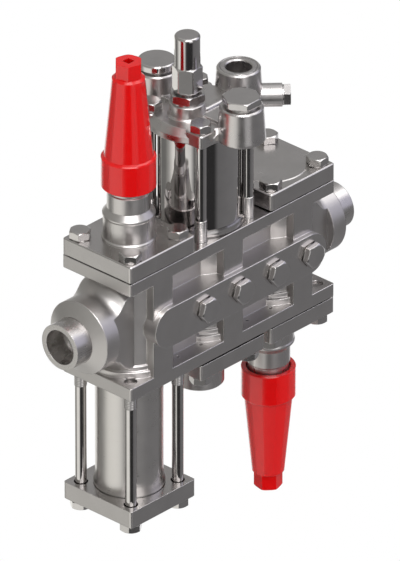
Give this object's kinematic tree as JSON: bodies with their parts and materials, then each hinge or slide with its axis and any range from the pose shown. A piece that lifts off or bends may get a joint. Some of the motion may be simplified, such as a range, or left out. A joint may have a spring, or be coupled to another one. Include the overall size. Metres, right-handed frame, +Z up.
{
  "type": "refrigeration valve station",
  "caption": "Steel valve station for a refrigerant line: forged housing with weld sockets, stop valves under red caps, strainer, servo valve with pilot ports, and blind cover.",
  "frame": {"origin": "centre of the inlet pipe mouth, on the pipe axis", "axes": "+X along the flow from the inlet to the outlet, +Z up through the servo module, +Y to the blank rear side of the housing; the side plugs face -Y"},
  "size_m": [0.372, 0.1508, 0.522],
  "materials": {
    "bolt_steel": "polished stainless",
    "bright_steel": "ground bright",
    "forged_steel": "fine blasted forging with a satin sheen",
    "gasket_fibre": "dark fibre sheet",
    "packing_graphite": "graphite rings",
    "pipe_steel": "turned, satin",
    "plate_steel": "machined plate, fine grinding marks",
    "polished_steel": "polished, mirror-like",
    "red_plastic": "glossy red moulding",
    "satin_steel": "smooth satin casting",
    "seal_copper": "soft metal sealing ring",
    "spring_steel": "oil hardened wire",
    "strainer_steel": "perforated stainless sheet",
    "tube_steel": "drawn tube, satin"
  },
  "bodies": {
    "station": {"blind_cover": "plate_steel", "blind_cover_bolts": "bolt_steel", "blind_cover_gasket": "gasket_fibre", "branch_plug": "polished_steel", "front_pilot_plug": "polished_steel", "housing": "forged_steel", "inlet_stop_bolts": "bolt_steel", "inlet_stop_bonnet": "plate_steel", "inlet_stop_gasket": "gasket_fibre", "inlet_stop_gland_nut": "bright_steel", "inlet_stop_packing": "packing_graphite", "inlet_stop_seat_ring": "bright_steel", "inlet_stub": "pipe_steel", "outlet_stop_bolts": "bolt_steel", "outlet_stop_bonnet": "plate_steel", "outlet_stop_gasket": "gasket_fibre", "outlet_stop_gland_nut": "bright_steel", "outlet_stop_packing": "packing_graphite", "outlet_stop_seat_ring": "bright_steel", "outlet_stub": "pipe_steel", "pilot_plug_seals": "seal_copper", "rear_pilot_plug": "polished_steel", "return_spring": "spring_steel", "servo_bolts": "bolt_steel", "servo_cover": "satin_steel", "servo_cylinder": "polished_steel", "servo_lower_gasket": "gasket_fibre", "servo_seat_ring": "bright_steel", "servo_upper_gasket": "gasket_fibre", "side_plug_seals": "seal_copper", "side_plugs": "polished_steel", "spring_cover": "plate_steel", "spring_cover_bolts": "bolt_steel", "spring_cover_gasket": "gasket_fibre", "strainer_bolts": "bolt_steel", "strainer_cover": "plate_steel", "strainer_element": "strainer_steel", "strainer_lower_gasket": "gasket_fibre", "strainer_tube": "tube_steel", "strainer_upper_gasket": "gasket_fibre", "tower_gland_nut": "polished_steel"},
    "inlet_cap": {"inlet_stop_red_cap": "red_plastic"},
    "inlet_cone": {"inlet_stop_cone": "bright_steel"},
    "inlet_spindle": {"inlet_stop_spindle": "bright_steel"},
    "outlet_cap": {"outlet_stop_red_cap": "red_plastic"},
    "outlet_cone": {"outlet_stop_cone": "bright_steel"},
    "outlet_spindle": {"outlet_stop_spindle": "bright_steel"},
    "servo_slide": {"servo_piston": "bright_steel", "push_rod": "bright_steel", "throttle_cone": "bright_steel"},
    "manual_override": {"manual_spindle": "bright_steel"},
    "spindle_cover": {"manual_spindle_cap": "polished_steel"}
  },
  "joints": [
    {"name": "inlet_cap_pull", "type": "slide", "parent": "station", "child": "inlet_cap", "axis": [0, 0, 1], "range_m": [0, 0.09]},
    {"name": "inlet_cone_lift", "type": "slide", "parent": "station", "child": "inlet_cone", "axis": [0, 0, 1], "range_m": [0, 0.012]},
    {"name": "inlet_spindle_turn", "type": "hinge", "parent": "inlet_cone", "child": "inlet_spindle", "pos_m": [0.092, 0, 0], "axis": [0, 0, 1], "range_deg": [0, 1440]},
    {"name": "outlet_cap_pull", "type": "slide", "parent": "station", "child": "outlet_cap", "axis": [0, 0, -1], "range_m": [0, 0.09]},
    {"name": "outlet_cone_lift", "type": "slide", "parent": "station", "child": "outlet_cone", "axis": [0, 0, -1], "range_m": [0, 0.012]},
    {"name": "outlet_spindle_turn", "type": "hinge", "parent": "outlet_cone", "child": "outlet_spindle", "pos_m": [0.28, 0, 0], "axis": [0, 0, -1], "range_deg": [0, 1440]},
    {"name": "servo_travel", "type": "slide", "parent": "station", "child": "servo_slide", "axis": [0, 0, -1], "range_m": [0, 0.01], "stiffness_N_per_m": 2000, "springref_m": -0.02, "deforming": ["return_spring"]},
    {"name": "manual_feed", "type": "slide", "parent": "station", "child": "manual_override", "axis": [0, 0, -1], "range_m": [0, 0.01]},
    {"name": "spindle_cover_pull", "type": "slide", "parent": "station", "child": "spindle_cover", "axis": [0, 0, 1], "range_m": [0, 0.06]}
  ],
  "couplings": [
    {"joint": "inlet_spindle_turn", "follows": "inlet_cone_lift", "rad_per_m": 2094},
    {"joint": "outlet_spindle_turn", "follows": "outlet_cone_lift", "rad_per_m": 2094}
  ]
}
